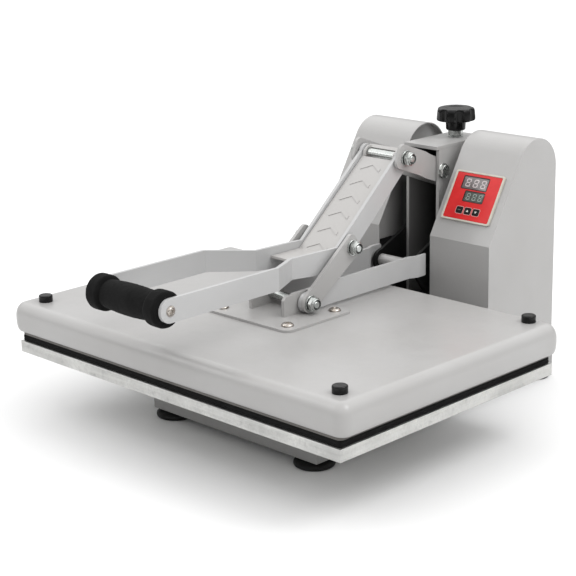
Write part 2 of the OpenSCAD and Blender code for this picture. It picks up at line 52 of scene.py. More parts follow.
# ---------- camera, light and floor, in metres and radians ----------

CAMERA_PLACE = (1.4253, -1.4708, 0.7695)
CAMERA_TURN = (0.788, 0.2821, -0.0212)  # yaw from +Y, pitch down and roll
CAMERA_SENSOR, CAMERA_LENS = 36, 98.6  # mm
# the dome's light adds up ramps along an axis: axis, ramp's start and end, brightness at its start and end
DOME = [("Z", 0.08, 0.75, 0.2, 1.6), ("X", 0.1, 0.95, 0.0, 0.32), ("X", -0.95, -0.2, 0.25, 0.0)]
FLOOR_RADIUS = 14


def make_camera():
    """Camera at the photograph's angle."""
    yaw, pitch, roll = CAMERA_TURN
    fwd = Vector((-math.sin(yaw) * math.cos(pitch), math.cos(yaw) * math.cos(pitch), -math.sin(pitch)))
    side = Vector((math.cos(yaw), math.sin(yaw), 0))
    up = side.cross(fwd)
    x = math.cos(roll) * side + math.sin(roll) * up
    y = -math.sin(roll) * side + math.cos(roll) * up
    m = Matrix((x, y, -fwd)).transposed().to_4x4()
    m.translation = Vector(CAMERA_PLACE)
    data = bpy.data.cameras.new("camera")
    data.sensor_width = CAMERA_SENSOR
    data.lens = CAMERA_LENS
    data.clip_end = 60
    cam = bpy.data.objects.new("camera", data)
    cam.matrix_world = m
    scene.collection.objects.link(cam)
    scene.camera = cam


def area_light(name, place, target, power, width, height):
    """White softbox, its power in watts."""
    data = bpy.data.lights.new(name, "AREA")
    data.energy = power
    data.shape = "RECTANGLE"
    data.size = width
    data.size_y = height
    o = bpy.data.objects.new(name, data)
    o.location = place
    o.rotation_euler = (Vector(target) - Vector(place)).to_track_quat("-Z", "Y").to_euler()
    scene.collection.objects.link(o)


def make_world():
    """Studio dome: bright overhead, a little brighter to the sides, dim at the horizon."""
    world = bpy.data.worlds.new("studio")
    world.use_nodes = True
    tree = world.node_tree
    back = tree.nodes["Background"]
    coord = tree.nodes.new("ShaderNodeTexCoord")
    split = tree.nodes.new("ShaderNodeSeparateXYZ")
    tree.links.new(coord.outputs["Generated"], split.inputs[0])
    total = None
    for axis, lo, hi, to_lo, to_hi in DOME:
        part = tree.nodes.new("ShaderNodeMapRange")
        part.interpolation_type = "SMOOTHSTEP"
        tree.links.new(split.outputs[axis], part.inputs["Value"])
        for name, v in (("From Min", lo), ("From Max", hi), ("To Min", to_lo), ("To Max", to_hi)):
            part.inputs[name].default_value = v
        if total is None:
            total = part.outputs[0]
            continue
        add = tree.nodes.new("ShaderNodeMath")
        add.operation = "ADD"
        tree.links.new(total, add.inputs[0])
        tree.links.new(part.outputs[0], add.inputs[1])
        total = add.outputs[0]
    tree.links.new(total, back.inputs["Strength"])
    back.inputs["Color"].default_value = (1, 1, 1, 1)
    scene.world = world


def make_floor():
    """Plain pale floor."""
    mesh = bpy.data.meshes.new("floor")
    bm = bmesh.new()
    bmesh.ops.create_circle(bm, cap_ends=True, segments=64, radius=FLOOR_RADIUS)
    bm.to_mesh(mesh)
    bm.free()
    o = bpy.data.objects.new("floor", mesh)
    scene.collection.objects.link(o)
    mat = bpy.data.materials.new("floor")
    mat.use_nodes = True
    p = mat.node_tree.nodes["Principled BSDF"]
    p.inputs["Base Color"].default_value = (0.8, 0.8, 0.8, 1)
    p.inputs["Roughness"].default_value = 0.8
    p.inputs["Specular IOR Level"].default_value = 0.2
    mesh.materials.append(mat)


make_camera()
make_world()
make_floor()
scene.view_settings.view_transform = "Standard"
area_light("key", (1.5, 0.5, 2.0), (0, 0, 0.15), 14, 1.0, 1.0)
area_light("strip", (-1.6, -1.6, 1.5), (0, 0, 0.2), 5, 0.25, 1.6)


# ---------- materials ----------

class Finish:
    """A node material; coordinates are metres in the object's own frame."""

    def __init__(self, name, rough, metal=0.0):
        self.mat = bpy.data.materials.new(name)
        self.mat.use_nodes = True
        self.tree = self.mat.node_tree
        self.bsdf = self.tree.nodes["Principled BSDF"]
        self.bsdf.inputs["Metallic"].default_value = metal
        self.bsdf.inputs["Roughness"].default_value = rough
        self.where = self.tree.nodes.new("ShaderNodeTexCoord").outputs["Object"]

    def node(self, kind, inputs=(), **props):
        n = self.tree.nodes.new(kind)
        for k, v in props.items():
            setattr(n, k, v)
        for k, v in dict(inputs).items():
            if isinstance(v, bpy.types.NodeSocket):
                self.tree.links.new(v, n.inputs[k])
            else:
                n.inputs[k].default_value = v
        return n

    def noise(self, scale, detail, rough=0.55, stretch=None):
        """Noise from 0 to 1; stretch scales each axis first."""
        where = self.where
        if stretch:
            where = self.node("ShaderNodeMapping", {"Vector": where, "Scale": stretch}).outputs[0]
        return self.node("ShaderNodeTexNoise", {
            "Vector": where, "Scale": scale, "Detail": detail, "Roughness": rough}).outputs["Fac"]

    def cells(self, scale):
        """Distance to the nearest of scattered points, for pores and grain."""
        return self.node("ShaderNodeTexVoronoi", {"Vector": self.where, "Scale": scale}).outputs["Distance"]

    def spread(self, fac, lo=0.3, hi=0.7, to_lo=0.0, to_hi=1.0):
        """Maps lo..hi of fac to to_lo..to_hi."""
        return self.node("ShaderNodeMapRange", {
            "Value": fac, "From Min": lo, "From Max": hi, "To Min": to_lo, "To Max": to_hi}).outputs[0]

    def math(self, op, a, b=0.0):
        n = self.tree.nodes.new("ShaderNodeMath")
        n.operation = op
        for i, v in enumerate((a, b)):
            if isinstance(v, bpy.types.NodeSocket):
                self.tree.links.new(v, n.inputs[i])
            else:
                n.inputs[i].default_value = v
        return n.outputs[0]

    def mix(self, fac, a, b):
        """Colour from a to b by fac."""
        n = self.tree.nodes.new("ShaderNodeMix")
        n.data_type = "RGBA"
        for i, v in ((0, fac), (6, a), (7, b)):
            if isinstance(v, bpy.types.NodeSocket):
                self.tree.links.new(v, n.inputs[i])
            else:
                n.inputs[i].default_value = (*v, 1) if isinstance(v, tuple) else v
        return n.outputs[2]

    def colour(self, socket):
        self.tree.links.new(socket, self.bsdf.inputs["Base Color"])

    def rough(self, socket):
        self.tree.links.new(socket, self.bsdf.inputs["Roughness"])

    def bump(self, height, strength, distance):
        """Adds relief on top of any relief already there."""
        last = self.bsdf.inputs["Normal"].links
        inputs = {"Height": height, "Strength": strength, "Distance": distance}
        if last:
            inputs["Normal"] = last[0].from_socket
        n = self.node("ShaderNodeBump", inputs)
        self.tree.links.new(n.outputs[0], self.bsdf.inputs["Normal"])

    def set(self, **values):
        """Shader inputs by name, with underscores for spaces."""
        for k, v in values.items():
            self.bsdf.inputs[k.replace("_", " ")].default_value = v
        return self


def grey(v, warm=0.0):
    """Grey of brightness v, tinted towards red by warm."""
    return (v * (1 + warm), v, v * (1 - warm))


def powder(name, tone, warm=0.02, rough=0.34):
    """Satin powder coat: orange peel, faint mottling and fine specks; gives the Finish itself."""
    f = Finish(name, rough)
    cloud = f.spread(f.noise(7, 4))
    base = f.mix(cloud, grey(tone * 0.95, warm), grey(tone * 1.03, warm * 0.6))
    speck = f.spread(f.noise(2600, 2), 0.62, 0.78)
    base = f.mix(f.math("MULTIPLY", speck, 0.25), base, grey(tone * 0.72, warm))
    f.colour(base)
    f.rough(f.spread(f.noise(38, 5), to_lo=rough - 0.06, to_hi=rough + 0.08))
    f.bump(f.noise(620, 3), 0.22, 0.0003)
    f.bump(f.noise(2100, 2), 0.10, 0.0002)
    f.set(Coat_Weight=0.25, Coat_Roughness=0.2)
    return f


def hollow_shade_paint(name, half, y, dark, z):
    """Powder coat with painted shade inside a folded sheet part, darkening it like a deep unlit hollow.

    It dims where |x| is under half, over the y range, from dark[0] at its front to dark[1] at its back,
    and fades out over the z range.
    """
    f = powder(name, PAINT_TONE)
    at = f.node("ShaderNodeSeparateXYZ", {"Vector": f.where})
    edge = 0.0004
    inside = f.spread(f.math("ABSOLUTE", at.outputs["X"]), half, half + edge, 1.0, 0.0)
    ahead = f.spread(at.outputs["Y"], y[1], y[1] + edge, 1.0, 0.0)
    deep = f.spread(at.outputs["Y"], y[0], y[0] + (y[1] - y[0]) * 0.7, *dark)
    low = f.spread(at.outputs["Z"], *z, 1.0, 0.0)
    fac = f.math("MULTIPLY", f.math("MULTIPLY", inside, ahead), f.math("MULTIPLY", deep, low))
    painted = f.bsdf.inputs["Base Color"].links[0].from_socket
    # painted shade: the paint's colour is mixed towards near black over the mask
    f.colour(f.mix(fac, painted, grey(0.006)))
    return f.mat


def zinc(name, tone=0.48, rough=0.27):
    """Bright zinc plate with a faint green-blue passivation and hairline scratches."""
    f = Finish(name, rough, 1.0)
    cloud = f.spread(f.noise(110, 3), 0.35, 0.65)
    f.colour(f.mix(cloud, (tone * 0.93, tone * 0.98, tone * 0.95), (tone * 1.08, tone * 1.10, tone * 1.07)))
    f.rough(f.spread(f.noise(420, 4), to_lo=rough - 0.04, to_hi=rough + 0.05))
    f.bump(f.noise(1400, 2), 0.04, 0.00004)
    return f.mat


def moulded(name, colour, rough, grain, depth):
    """Moulded plastic or rubber with a fine grain; black kinds shine less."""
    f = Finish(name, rough)
    lo = colour
    hi = tuple(min(1, c * 1.25 + 0.004) for c in lo)
    f.colour(f.mix(f.spread(f.noise(60, 4)), lo, hi))
    f.rough(f.spread(f.noise(210, 4), to_lo=rough - 0.06, to_hi=rough + 0.1))
    f.bump(f.cells(grain), depth, 0.0002)
    f.set(Specular_IOR_Level=0.22 if max(colour) < 0.05 else 0.4)
    return f.mat


def aluminium(name):
    """Bare milled plate: fine streaks along the edge, smears and small stains."""
    f = Finish(name, 0.4, 0.85)
    streak = f.noise(260, 4, stretch=(0.035, 0.035, 1.0))
    fine = f.noise(1500, 3, stretch=(0.02, 0.02, 1.0))
    stain = f.spread(f.noise(17, 5, 0.65), 0.35, 0.7)
    base = f.mix(stain, (0.60, 0.60, 0.58), (0.40, 0.40, 0.39))
    spots = f.spread(f.noise(75, 5, 0.7), 0.55, 0.72)
    base = f.mix(f.math("MULTIPLY", spots, 0.6), base, (0.24, 0.24, 0.24))
    mottle = f.spread(f.noise(330, 3, 0.6), 0.4, 0.65)
    base = f.mix(f.math("MULTIPLY", mottle, 0.35), base, (0.34, 0.34, 0.33))
    f.colour(f.mix(f.math("MULTIPLY", f.spread(streak, 0.35, 0.75), 0.5), base, (0.64, 0.64, 0.62)))
    f.rough(f.spread(fine, to_lo=0.32, to_hi=0.52))
    f.bump(fine, 0.25, 0.0002)
    return f.mat


def heater(name):
    """Dark, slightly glossy coating of the heat plate."""
    f = Finish(name, 0.5)
    f.colour(f.mix(f.spread(f.noise(24, 5)), (0.085, 0.080, 0.074), (0.13, 0.122, 0.114)))
    f.bump(f.noise(1200, 3), 0.2, 0.0002)
    f.set(Coat_Weight=0.1, Coat_Roughness=0.4, Specular_IOR_Level=0.3)
    return f.mat


def board(name):
    """Fibrous insulation board."""
    f = Finish(name, 0.85)
    fibre = f.noise(300, 5, stretch=(0.15, 0.15, 1))
    f.colour(f.mix(f.spread(fibre), (0.40, 0.37, 0.33), (0.52, 0.49, 0.45)))
    f.bump(fibre, 0.5, 0.0006)
    return f.mat


def foam(name, tone, grain):
    """Closed-cell foam or sponge rubber: open pores with painted shade in them, a soft sheen and uneven
    tone.
    """
    f = Finish(name, 0.92)
    pores = f.cells(grain)
    cloud = f.mix(f.spread(f.noise(50, 4), 0.35, 0.7), grey(tone), grey(tone * 1.8))
    # painted shade: the pores are painted darker at their centres, where their bump sinks lowest
    f.colour(f.mix(f.spread(pores, 0.0, 0.25), grey(tone * 0.4), cloud))
    f.bump(pores, 0.6, 0.0004)
    f.bump(f.noise(420, 4), 0.3, 0.0007)
    f.set(Sheen_Weight=0.02, Sheen_Roughness=0.5, Specular_IOR_Level=0.12)
    return f.mat


def overlay(name):
    """Printed red polyester film."""
    f = Finish(name, 0.42)
    cloud = f.spread(f.noise(45, 4))
    f.colour(f.mix(cloud, (0.55, 0.010, 0.012), (0.64, 0.020, 0.020)))
    f.bump(f.noise(1900, 2), 0.12, 0.0001)
    f.set(Coat_Weight=0.15, Coat_Roughness=0.3, Specular_IOR_Level=0.3)
    return f.mat


def window(name, lo, hi):
    """Glossy display window, its colour clouded from lo to hi."""
    f = Finish(name, 0.18)
    f.colour(f.mix(f.spread(f.noise(90, 3)), lo, hi))
    f.set(Coat_Weight=0.6, Coat_Roughness=0.08)
    return f.mat


def chrome(name):
    """Nickel plate with fine scratches and a faint brown cast, partly nickel's own warm tint and partly a
    painted brown reflection.
    """
    f = Finish(name, 0.16, 1.0)
    # painted reflection in part: the brown of the base colour
    f.colour(f.mix(f.spread(f.noise(240, 4), 0.35, 0.7), (0.36, 0.32, 0.28), (0.52, 0.49, 0.46)))
    f.rough(f.spread(f.noise(700, 3), to_lo=0.10, to_hi=0.24))
    f.bump(f.noise(1500, 3), 0.08, 0.0001)
    return f.mat


PAINT_TONE = 0.36
MATERIALS = {
    "paint": powder("paint", PAINT_TONE).mat,
    "paint_warm": powder("paint_warm", 0.40, 0.03).mat,
    "paint_dark": powder("paint_dark", 0.25).mat,
    "black_paint": powder("black_paint", 0.006, 0.0, 0.5).set(Coat_Weight=0.0, Specular_IOR_Level=0.2).mat,
    "zinc_steel": zinc("zinc_steel"),
    "rubber": moulded("rubber", grey(0.006), 0.55, 900, 0.25),
    "platen_aluminium": aluminium("platen_aluminium"),
    "silicone": foam("silicone", 0.004, 700),
    "heater_coating": heater("heater_coating"),
    "insulation_board": board("insulation_board"),
    "black_plastic": moulded("black_plastic", grey(0.0025), 0.14, 1100, 0.05),
    "button_plastic": moulded("button_plastic", grey(0.006), 0.4, 1300, 0.15),
    "foam": foam("foam", 0.0045, 1250),
    "bezel_plastic": moulded("bezel_plastic", (0.47, 0.45, 0.39), 0.4, 1500, 0.12),
    "red_overlay": overlay("red_overlay"),
    "display_upper": window("display_upper", (0.10, 0.085, 0.085), (0.14, 0.12, 0.12)),
    "display_lower": window("display_lower", (0.055, 0.062, 0.055), (0.08, 0.09, 0.08)),
    "switch_red": moulded("switch_red", (0.45, 0.02, 0.02), 0.3, 1200, 0.1),
}
# dark steel of the spring washers and insert, kept dark also as painted shade between washer and nut and in
# the nut's mouth
SPRING_STEEL_AND_SHADE = zinc("spring_steel_and_shade", 0.07, 0.4)
BUTTON_GROUND = moulded("button_ground", grey(0.006), 0.4, 1300, 0.1)
DIGITS_UPPER = window("digits_upper", (0.42, 0.36, 0.36), (0.52, 0.46, 0.46))
DIGITS_LOWER = window("digits_lower", (0.22, 0.27, 0.24), (0.29, 0.34, 0.31))
FRAME_DARK = moulded("window_frame", (0.030, 0.014, 0.013), 0.4, 1200, 0.1)
ICON = moulded("icon", (0.55, 0.55, 0.52), 0.45, 1200, 0.05)
ICON_DIM = moulded("icon_dim", (0.10, 0.11, 0.10), 0.45, 1200, 0.05)
OUTLINE = moulded("button_outline", (0.55, 0.33, 0.32), 0.45, 1200, 0.05)
CHROME = chrome("chrome")


def paint_node(name, material):
    mesh = NODES[name].data
    mesh.materials.clear()
    mesh.materials.append(material)


def paint_nodes():
    """Each CAD node gets its slot's material; then the hinge lugs and base plate get black paint as painted
    shade, the handle bars and swing arms a lighter copy of the paint as painted light, and the column's
    hollow and the left tower's inner panel get painted shade.
    """
    for part in frame["record"]["subparts"]:
        paint_node(part["node"], MATERIALS[part["material_slot"]])
    # painted shade: the hinge lugs and base plate are painted black, in place of their slot's grey paint,
    # for the shade round the hinge
    for name in ("hinge_lugs", "base_plate"):
        paint_node(name, MATERIALS["black_paint"])
    # painted light: a lighter copy of the grey paint makes the handle bars and swing arms look more
    # brightly lit
    arm_lit_paint = powder("arm_lit_paint", 0.45, 0.0).mat
    for name in ("handle_bar_left", "handle_bar_right", "swing_arm_left", "swing_arm_right"):
        paint_node(name, arm_lit_paint)
    # painted shade: the inside of the column is painted dark, darker towards its back
    lo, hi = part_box("column")
    hollow = (lo.y, hi.y - 0.0048)
    paint_node("column", hollow_shade_paint("column_shade_paint", 0.0252, hollow, (0.55, 0.985), (1.0, 1.1)))
    # painted shade: the left tower's inner panel is painted darker towards its back and bottom
    hollow = (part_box("left_inner_panel")[0].y, 0.270)
    dimmed = hollow_shade_paint("left_inner_panel_shade_paint", 1.0, hollow, (-0.6, 1.0), (0.27, 0.34))
    paint_node("left_inner_panel", dimmed)


paint_nodes()


# ---------- edges of the CAD nodes ----------

SMOOTH_UNDER = math.radians(26)
BEVEL_OVER = math.radians(40)
FLAT_WITHIN = math.radians(0.4)
WELD_WITHIN = 0.000004


def smooth_group(angle):
    """Node group that shades a mesh smooth but for edges sharper than angle."""
    g = bpy.data.node_groups.new("smooth_by_angle", "GeometryNodeTree")
    g.interface.new_socket("Geometry", in_out="INPUT", socket_type="NodeSocketGeometry")
    g.interface.new_socket("Geometry", in_out="OUTPUT", socket_type="NodeSocketGeometry")
    gin = g.nodes.new("NodeGroupInput")
    gout = g.nodes.new("NodeGroupOutput")
    faces = g.nodes.new("GeometryNodeSetShadeSmooth")
    edges = g.nodes.new("GeometryNodeSetShadeSmooth")
    edges.domain = "EDGE"
    edges.inputs["Shade Smooth"].default_value = False
    between = g.nodes.new("GeometryNodeInputMeshEdgeAngle")
    more = g.nodes.new("FunctionNodeCompare")
    more.data_type = "FLOAT"
    more.operation = "GREATER_THAN"
    more.inputs[1].default_value = angle
    g.links.new(between.outputs["Unsigned Angle"], more.inputs[0])
    g.links.new(gin.outputs[0], faces.inputs["Geometry"])
    g.links.new(faces.outputs[0], edges.inputs["Geometry"])
    g.links.new(more.outputs[0], edges.inputs["Selection"])
    g.links.new(edges.outputs[0], gout.inputs[0])
    return g


SMOOTH = smooth_group(SMOOTH_UNDER)


def soften(o, width, flats):
    """Welds the faces of a CAD node, joins its flats if asked, rounds its edges and shades it by angle."""
    w = o.modifiers.new("weld", "WELD")
    w.merge_threshold = WELD_WITHIN
    if flats:
        d = o.modifiers.new("flats", "DECIMATE")
        d.decimate_type = "DISSOLVE"
        d.angle_limit = FLAT_WITHIN
    b = o.modifiers.new("bevel", "BEVEL")
    b.width = width
    b.segments = 2
    b.limit_method = "ANGLE"
    b.angle_limit = BEVEL_OVER
    b.miter_outer = "MITER_ARC"
    s = o.modifiers.new("smooth", "NODES")
    s.node_group = SMOOTH
    n = o.modifiers.new("normals", "WEIGHTED_NORMAL")
    n.keep_sharp = True


DEFAULT_EDGE = 0.0004
EDGE = {
    "rubber_feet": 0.0012, "base_front_bar": 0.0012, "base_side_rails": 0.0012, "base_rear_bar": 0.0012,
    "base_plate": 0.0006, "lower_platen": 0.0006, "heat_plate": 0.0006, "chevron_plate": 0.0007,
    "platen_bracket": 0.0005,
}
# these have openings in their flats, so their flats aren't joined
PIERCED = ("left_tower", "right_tower", "chevron_plate", "column_top_plate")
for name, o in NODES.items():
    soften(o, EDGE.get(name, DEFAULT_EDGE), name not in PIERCED)


# ---------- mesh building, in the CAD source's millimetres ----------

ROW = Matrix.Translation((0, -0.0745, 0)) @ Matrix.Scale(0.001, 4)
RIGHT, LEFT, UP = (1, 0, 0), (-1, 0, 0), (0, 0, 1)


def along(origin, direction, turn=0.0):
    """Frame at origin whose Z runs along direction, turned about it."""
    q = Vector(direction).to_track_quat("Z", "Y")
    return Matrix.Translation(origin) @ q.to_matrix().to_4x4() @ Matrix.Rotation(turn, 4, "Z")


def middle(node):
    """Centre of a CAD node."""
    lo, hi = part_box(node)
    return ROW.inverted() @ ((lo + hi) / 2)


def circle(r, n):
    """n points (x, y) round a circle."""
    return [(r * math.cos(t), r * math.sin(t)) for t in (2 * math.pi * i / n for i in range(n))]


class Shape:
    """Collects closed skins into one mesh."""

    def __init__(self):
        self.bm = bmesh.new()

    def rings(self, rings, capped=True):
        """Joins rings of points into a skin; a ring of one point closes to a tip."""
        rows = [[self.bm.verts.new(p) for p in r] for r in rings]
        for a, b in zip(rows, rows[1:]):
            n = max(len(a), len(b))
            for i in range(n):
                j = (i + 1) % n
                if len(a) == 1:
                    self.bm.faces.new((a[0], b[j], b[i]))
                elif len(b) == 1:
                    self.bm.faces.new((a[i], a[j], b[0]))
                else:
                    self.bm.faces.new((a[i], a[j], b[j], b[i]))
        if capped and len(rows[0]) > 1:
            self.bm.faces.new(rows[0][::-1])
        if capped and len(rows[-1]) > 1:
            self.bm.faces.new(rows[-1])

    def turned(self, profile, at, n=48):
        """Solid of revolution about at's Z from (radius, height) pairs, flat or pointed at its ends."""
        rings = []
        for r, h in profile:
            points = circle(r, n) if r else [(0, 0)]
            rings.append([at @ Vector((x, y, h)) for x, y in points])
        self.rings(rings)

    def turned_ring(self, profile, at):
        """Ring about at's Z, its section closed from the last (radius, height) pair to the first."""
        section = profile + profile[:1]
        self.rings([[at @ Vector((x, y, h)) for x, y in circle(r, 48)] for r, h in section], False)

    def outline(self, point, rows, at, n):
        """Skin with a ring for each row, where point(angle, row) gives radius and height."""
        rings = []
        for row in rows:
            ring = []
            for i in range(n):
                t = 2 * math.pi * i / n
                r, h = point(t, row)
                ring.append(at @ Vector((r * math.cos(t), r * math.sin(t), h)))
            rings.append(ring)
        self.rings(rings)

    def hexagon(self, flats, h0, h1, at):
        """Hexagon head or nut with its corners turned off at 30 degrees."""
        face_r = flats * 0.475

        def point(t, row):
            r = flats / 2 / math.cos((t + math.pi / 6) % (math.pi / 3) - math.pi / 6)
            cut = (r - face_r) * math.tan(math.radians(30))
            return ((face_r, h0), (r, h0 + cut), (r, h1 - cut), (face_r, h1))[row]
        self.outline(point, range(4), at, 72)

    def prism(self, points, h0, h1, at):
        """Straight solid from an outline of points (x, y)."""
        self.rings([[at @ Vector((x, y, h)) for x, y in points] for h in (h0, h1)])

    def piece(self, name, body, material, slot, replaces=()):
        bmesh.ops.transform(self.bm, matrix=ROW, verts=self.bm.verts)
        bmesh.ops.remove_doubles(self.bm, verts=self.bm.verts, dist=1e-7)
        bmesh.ops.recalc_face_normals(self.bm, faces=self.bm.faces)
        mesh = bpy.data.meshes.new(name)
        self.bm.to_mesh(mesh)
        self.bm.free()
        mesh.materials.append(material)
        o = bpy.data.objects.new(name, mesh)
        scene.collection.objects.link(o)
        smooth = o.modifiers.new("smooth", "NODES")
        smooth.node_group = SMOOTH
        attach(o, body)
        if replaces:
            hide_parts(*replaces)
        return o


def steel_piece(s, name, body, replaces):
    """Zinc plated piece."""
    return s.piece(name, body, MATERIALS["zinc_steel"], "zinc_steel", replaces)


# ---------- pivot bolts ----------

BOLT_R = 6
WASHER_R, WASHER_T = 11, 1.9
SPRING_TOP = 3.2
NUT_FLATS, NUT_TOP, HEAD_TOP = 18, 9.0, 9.7


def washer(s, at, thick=WASHER_T):
    hole, edge = BOLT_R + 0.2, 0.4
    s.turned_ring([(hole, 0), (WASHER_R - edge, 0), (WASHER_R, edge), (WASHER_R, thick - edge),
                   (WASHER_R - edge, thick), (hole, thick)], at)


def lock_nut(s, at):
    """Washer, nut with its crimped collar, and the bolt's end inside it."""
    washer(s, at)
    s.hexagon(NUT_FLATS, SPRING_TOP, NUT_TOP, at)
    collar = [(8.4, 8.9), (8.2, 10.4), (7.7, 11.3), (7.1, 11.7), (6.9, 11.6), (6.8, 11.2), (6.8, 9.4)]
    s.turned_ring(collar, at)
    s.turned([(4.9, 9.2), (4.9, 10.4), (4.5, 11.0), (3.9, 11.6), (0, 11.75)], at)


def bolt_head(s, at):
    """Washer and hexagon head, slightly dished on top."""
    washer(s, at)
    s.hexagon(NUT_FLATS, SPRING_TOP, HEAD_TOP, at)
    s.turned([(6.8, HEAD_TOP - 0.01), (6.3, HEAD_TOP - 0.35), (0, HEAD_TOP - 0.45)], at)


def spring_washer(s, at):
    low, high = WASHER_T, SPRING_TOP
    s.turned_ring([(6.2, low), (9.3, low), (9.6, 2.2), (9.6, 2.9), (9.3, high), (6.2, high)], at)


def shaded_insert(s, at):
    """Dark insert ring in the nut's mouth, round the bolt's end; its darkness is also painted shade in the
    mouth.
    """
    s.turned_ring([(6.8, 9.6), (6.8, 10.9), (6.0, 11.2), (4.9, 10.6), (4.9, 9.6)], at)


def make_pivot(name, node, body, half, turns, rod_from=None, shoulder=None):
    """Nut on the right and head on the left of a CAD pivot, their seats half either side of the middle.

    turns says how far the nut and the head are turned. The rod runs right through, or outwards from
    rod_from on each side, and then the piece is named as its ends. shoulder is the radius, start and
    end of a collar on each side.
    """
    c = middle(node)
    seats = ((half, c.y, c.z), (-half, c.y, c.z))
    sides = [along((0, c.y, c.z), d) for d in (RIGHT, LEFT)]
    s = Shape()
    if rod_from:
        for at in sides:
            s.turned([(5.7, rod_from), (6, rod_from + 0.3), (6, half - 0.2), (6, half + 0.1)], at)
    else:
        s.turned([(5.4, -half), (6, -half + 0.6), (6, half - 0.6), (5.4, half)], sides[0])
    if shoulder:
        r, x0, x1 = shoulder
        for at in sides:
            s.turned([(r - 0.3, x0), (r, x0 + 0.3), (r, x1 - 0.3), (r - 0.3, x1)], at)
    lock_nut(s, along(seats[0], RIGHT, turns[0]))
    bolt_head(s, along(seats[1], LEFT, turns[1]))
    steel_piece(s, name + ("_ends" if rod_from else ""), body, (node,))
    s = Shape()
    at = along(seats[0], RIGHT)
    spring_washer(s, at)
    shaded_insert(s, at)
    spring_washer(s, along(seats[1], LEFT))
    s.piece(name + "_rings", body, SPRING_STEEL_AND_SHADE, "zinc_steel")


def make_rocker_bolt():
    """Bolt through the column with a small washer and head on each side."""
    seat, washer_top, head_top = 30, 31.5, 36.4
    c = middle("rocker_bolt")
    s = Shape()
    s.turned([(5, -seat), (5, seat)], along((0, c.y, c.z), RIGHT))
    for side in (RIGHT, LEFT):
        at = along((0, c.y, c.z), side, 0.25)
        s.turned([(10.4, seat + 0.05), (10.8, seat + 0.4), (10.8, seat + 1.2), (10.4, washer_top)], at)
        s.hexagon(17, washer_top, head_top, at)
        s.turned([(6, head_top - 0.01), (5.6, head_top - 0.3), (0, head_top - 0.4)], at)
    steel_piece(s, "rocker_bolt_heads", "frame", ("rocker_bolt",))


make_pivot("top_pivot_bolt", "top_pivot_rod", "pressure_rocker", 42.3, (0.3, 0.12))
make_pivot("platen_pin_bolt", "platen_pin", "upper_platen", 45.9, (0.3, 0.12), shoulder=(10, 33.0, 35.2))
make_pivot("knee_bolt", "knee_nuts", "toggle_link", 45.6, (0.1, 0.35), rod_from=40.7)
make_rocker_bolt()


# ---------- pan head screws ----------

def pan_head(s, at, r, h):
    """Domed head with a cross recess pressed into its crown."""
    n = 64
    arm, wide, deep = r * 0.48, r * 0.17, h * 0.5
    dome = [(1, 0), (0.99, 0.22), (0.93, 0.52), (0.8, 0.78), (0.64, 0.92)]
    rings = [[at @ Vector((x, y, h * up)) for x, y in circle(r * out, n)] for out, up in dome]
    for scale, z in ((1.25, h * 0.985), (1.0, h * 0.97), (0.8, h - deep)):
        star = []
        for i in range(n):
            c, sn = math.cos(2 * math.pi * i / n), math.sin(2 * math.pi * i / n)
            big, small = max(abs(c), abs(sn)), min(abs(c), abs(sn))
            q = min(arm / big, wide / max(small, 1e-6))
            q = max(q, wide * 1.1) * scale
            star.append(at @ Vector((q * c, q * sn, z)))
        rings.append(star)
    s.rings(rings)


def make_bracket_screws():
    """Four screws in the plate of the platen bracket, each turned differently."""
    seat, out_x, out_y, mid_y = 161.8, 60.6, 44, 3
    s = Shape()
    for i, (sx, sy) in enumerate(((-1, -1), (1, -1), (1, 1), (-1, 1))):
        at = along((sx * out_x, mid_y + sy * out_y, seat), UP, 0.5 + 0.9 * i)
        s.turned([(3.9, -3.2), (3.9, 0.4)], at, 24)
        pan_head(s, at, 8.4, 4.1)
    s.piece("bracket_pan_screws", "upper_platen", CHROME, "zinc_steel", ("bracket_screws",))


def make_grip_screws():
    """A washer and a screw in each end of the handle's tube."""
    face = 70
    c = middle("handle_tube")
    s = Shape()
    for side in (1, -1):
        out = (side, 0, 0)
        s.turned([(2.9, 60), (2.9, face)], along((0, c.y, c.z), out), 24)
        at = along((side * face, c.y, c.z), out, 0.6)
        s.turned([(6.6, 0.0), (6.8, 0.15), (6.8, 0.6), (6.4, 0.7)], at)
        pan_head(s, along((side * (face + 0.4), c.y, c.z), out, 0.6), 5.4, 2.3)
    s.piece("grip_end_screws", "handle", CHROME, "zinc_steel", ("grip_screws",))


make_bracket_screws()
make_grip_screws()


# ---------- foam grip and pad ----------

GRIP_HALF = 64.4
BARREL_R, BARREL_LOSS, BARREL_HALF = 20.1, 2.5, 45
COLLAR_R, COLLAR_FROM, COLLAR_ROUND = 22.9, 43.2, 4
# how far the pad's side lies in, at heights from its top and bottom faces
PAD_EDGE = ((14, 0), (1.2, 0), (0.4, 0.5), (0.05, 1.6), (0.0, 3))
PAD_WAIST = 0.35


def lumps(o, strength, size, name):
    """Uneven surface: displaces o along its normals by a smooth cloud, strength and size in metres."""
    tex = bpy.data.textures.new(name, "CLOUDS")
    tex.noise_depth = 3
    tex.noise_scale = size
    d = o.modifiers.new("uneven", "DISPLACE")
    d.texture = tex
    d.texture_coords = "LOCAL"
    d.strength = strength
    d.mid_level = 0.5
    return d


def grip_radius(x):
    """A barrel between two collars with rounded edges."""
    x = abs(x)
    barrel = BARREL_R - BARREL_LOSS * (min(x, BARREL_HALF) / BARREL_HALF) ** 2
    if x < COLLAR_FROM:
        return barrel
    into_round = max(COLLAR_FROM + COLLAR_ROUND - x, x - (GRIP_HALF - COLLAR_ROUND), 0) / COLLAR_ROUND
    return max(barrel, COLLAR_R - COLLAR_ROUND + COLLAR_ROUND * math.sqrt(max(0.0, 1 - into_round ** 2)))


